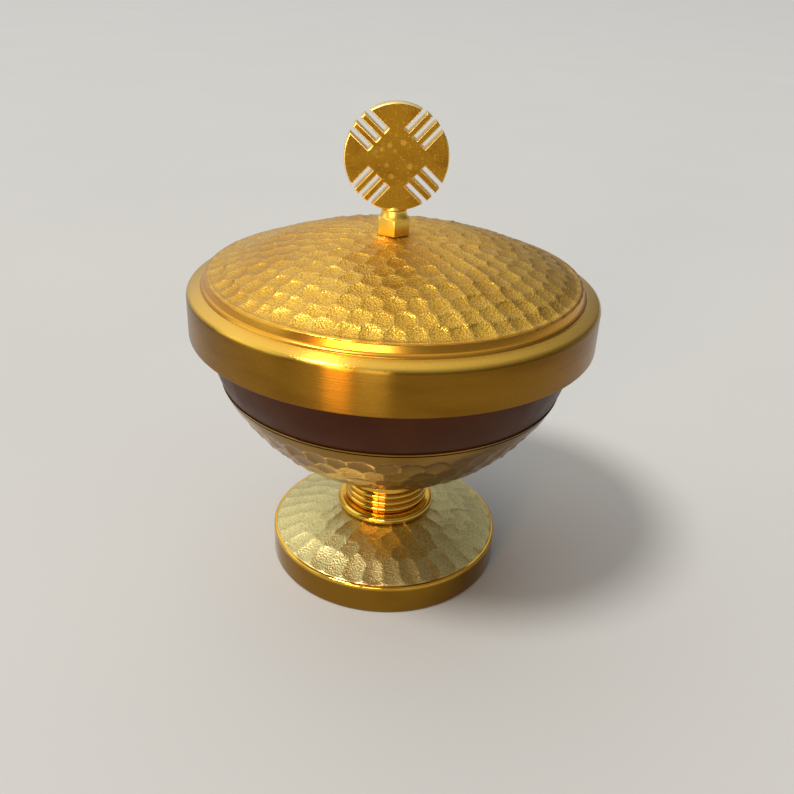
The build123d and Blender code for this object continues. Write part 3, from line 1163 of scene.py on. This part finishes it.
def turned_washer(name, radius, bottom, thick, hole):
    return turn(
        name,
        [
            (hole, bottom, 0.1),
            (radius, bottom, 0.2),
            (radius, bottom + thick, 0.2),
            (hole, bottom + thick, 0.1),
        ],
        128,
    )


tie_stud = threaded_stud("threaded_tie_stud", radius=2.48, pitch=0.8, bottom=7.7, top=26.7)
smooth(tie_stud, 40)
dress(tie_stud, "tie_stud", "plain_brass")

foot_nut = milled_nut("nut_under_foot", flats=8.0, bottom=8.9, height=4.0, hole=tie_thread)
smooth(foot_nut)
dress(foot_nut, "foot_nut", "plain_brass")

foot_washer = turned_washer("washer_under_foot", radius=8.0, bottom=12.9, thick=1.0, hole=tie_hole)
smooth(foot_washer)
dress(foot_washer, "foot_washer", "plain_brass")

finial_stud = threaded_stud("threaded_finial_stud", radius=1.98, pitch=0.7, bottom=91.6, top=101.0)
put_on_finial_axis(finial_stud)
smooth(finial_stud, 40)
dress(finial_stud, "finial_stud", "plain_brass")

finial_nut = milled_nut("nut_in_lid", flats=7.0, bottom=92.4, height=3.0, hole=finial_thread)
put_on_finial_axis(finial_nut)
smooth(finial_nut)
dress(finial_nut, "finial_nut", "plain_brass")

finial_washer = turned_washer("washer_in_lid", radius=4.5, bottom=95.4, thick=0.8, hole=finial_hole)
put_on_finial_axis(finial_washer)
smooth(finial_washer)
dress(finial_washer, "finial_washer", "plain_brass")


# Floor: pale paper

paper_shades = (0.50, 0.50, 0.49), (0.47, 0.47, 0.465)
bpy.ops.object.select_all(action="DESELECT")
bpy.ops.mesh.primitive_plane_add(size=90, location=(0, 0, -0.0001))
floor = bpy.context.object
floor.name = "studio_floor"
paper = Finish("pale_paper")
paper.join(paper.blend(paper.noise(6, 2), *paper_shades), paper.shader.inputs["Base Color"])
paper.set("Roughness", 0.9)
floor.data.materials.append(paper.material)

# Light: two soft glows of the room, high up behind to the left and in front to the right

world = bpy.data.worlds.new("studio")
scene.world = world
world.use_nodes = True
look = world.node_tree.nodes.new("ShaderNodeTexCoord").outputs["Generated"]


def world_reckon(kind, first, *others):
    node = world.node_tree.nodes.new("ShaderNodeMath")
    node.operation = kind
    world.node_tree.links.new(first, node.inputs[0])
    for socket, value in zip(list(node.inputs)[1:], others):
        if isinstance(value, (int, float)):
            socket.default_value = value
        else:
            world.node_tree.links.new(value, socket)
    return node.outputs[0]


def room_glow(way, most, least):
    """Light that falls off smoothly all round one way into the room."""
    toward = world.node_tree.nodes.new("ShaderNodeVectorMath")
    toward.operation = "DOT_PRODUCT"
    toward.inputs[1].default_value = Vector(way).normalized()
    world.node_tree.links.new(look, toward.inputs[0])
    facing = world_reckon("MAXIMUM", toward.outputs["Value"], 0.0)
    return world_reckon("MULTIPLY_ADD", world_reckon("POWER", facing, 3.0), most, least)


behind = room_glow((-0.37, 0.53, 0.77), 1.22, 0.05)
in_front = room_glow((0.25, -0.5, 0.83), 0.3, 0.04)
background = world.node_tree.nodes["Background"]
background.inputs["Color"].default_value = (1, 1, 1, 1)
world.node_tree.links.new(world_reckon("ADD", behind, in_front), background.inputs["Strength"])


def hang(name, lamp, way, place=(0, 0, 0)):
    """Put a lamp in the scene so that it shines one way."""
    holder = bpy.data.objects.new(name, lamp)
    scene.collection.objects.link(holder)
    holder.location = place
    holder.rotation_euler = Vector(way).to_track_quat("-Z", "Y").to_euler()


def softbox(name, place, aim, width, height, power, colour=(1, 1, 1), spread=180):
    lamp = bpy.data.lights.new(name, "AREA")
    lamp.shape = "RECTANGLE"
    lamp.size = width
    lamp.size_y = height
    lamp.spread = radians(spread)
    lamp.energy = power
    lamp.color = colour
    hang(name, lamp, Vector(aim) - Vector(place), place)


# A sun for the shadow, two strips that the rim and stem mirror, and a window to the left
key = bpy.data.lights.new("key_light", "SUN")
key.energy = 2.2
key.angle = radians(14)
key.color = (1.0, 0.97, 0.92)
hang("key_light", key, (0.42, 0.244, -0.874))
strip_aim = (0, 0, 0.1)
warm_light = (1.0, 0.6, 0.24)
window_light = (0.9, 1.0, 0.87)
softbox("pale_strip", (-0.4, -2.57, 0.45), strip_aim, 0.74, 0.9, 2.0, spread=70)
softbox("warm_strip", (-1.16, -2.33, 0.45), strip_aim, 0.6, 0.9, 5.6, warm_light, 70)
softbox("left_window", (-5.5, -0.75, 2.25), (0, 0, 0.06), 4.5, 4.0, 64, window_light)

# Camera, rolled a little as in the photo

camera_place = (0, -0.2133, 0.1594)
pitch, yaw, roll = radians(27.2), radians(0.55), radians(2.81)
ahead = Vector((sin(yaw) * cos(pitch), cos(yaw) * cos(pitch), -sin(pitch)))
level = Vector((cos(yaw), -sin(yaw), 0))
upright = level.cross(ahead)
right = level * cos(roll) + upright * sin(roll)
over = upright * cos(roll) - level * sin(roll)
facing = Matrix((right, over, -ahead)).transposed().to_4x4()
camera = bpy.data.objects.new("camera", bpy.data.cameras.new("camera"))
scene.collection.objects.link(camera)
camera.data.sensor_width = 36.0
camera.data.lens = 38.35
camera.data.clip_start = 0.01
camera.matrix_world = Matrix.Translation(camera_place) @ facing
scene.camera = camera
